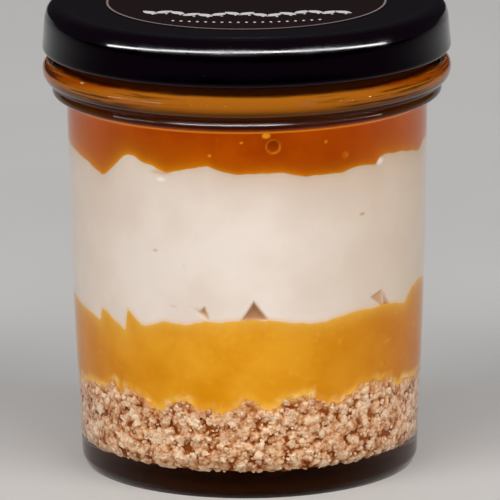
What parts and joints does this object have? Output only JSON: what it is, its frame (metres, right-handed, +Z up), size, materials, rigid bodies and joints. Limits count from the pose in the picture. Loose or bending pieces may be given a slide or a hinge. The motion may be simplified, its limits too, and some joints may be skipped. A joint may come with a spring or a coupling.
{
  "type": "layered dessert jar",
  "caption": "Layered mango and passion fruit dessert with jelly, cream, fruit puree and biscuit crumbs in a lidded glass jar.",
  "frame": {"origin": "centre of the jar's foot, on the surface it stands on", "axes": "+Z up along the jar's axis, -Y towards the side the picture shows, +X to that view's right"},
  "size_m": [0.0706, 0.0706, 0.0815],
  "materials": {
    "jar": "clear polished glass",
    "lid": "glossy black lacquer on tinplate",
    "label": "satin dark brown paper label with a pale border",
    "fruit_jelly": "deep orange see-through set fruit jelly",
    "cream": "off-white smooth cream",
    "fruit_puree": "amber yellow glossy fruit puree",
    "crumb_base": "pinkish brown rough biscuit crumbs"
  },
  "bodies": {
    "root": {"jar": "jar", "lid": "lid", "label": "label", "fruit_jelly": "fruit_jelly", "cream": "cream", "fruit_puree": "fruit_puree", "crumb_base": "crumb_base"}
  },
  "joints": []
}
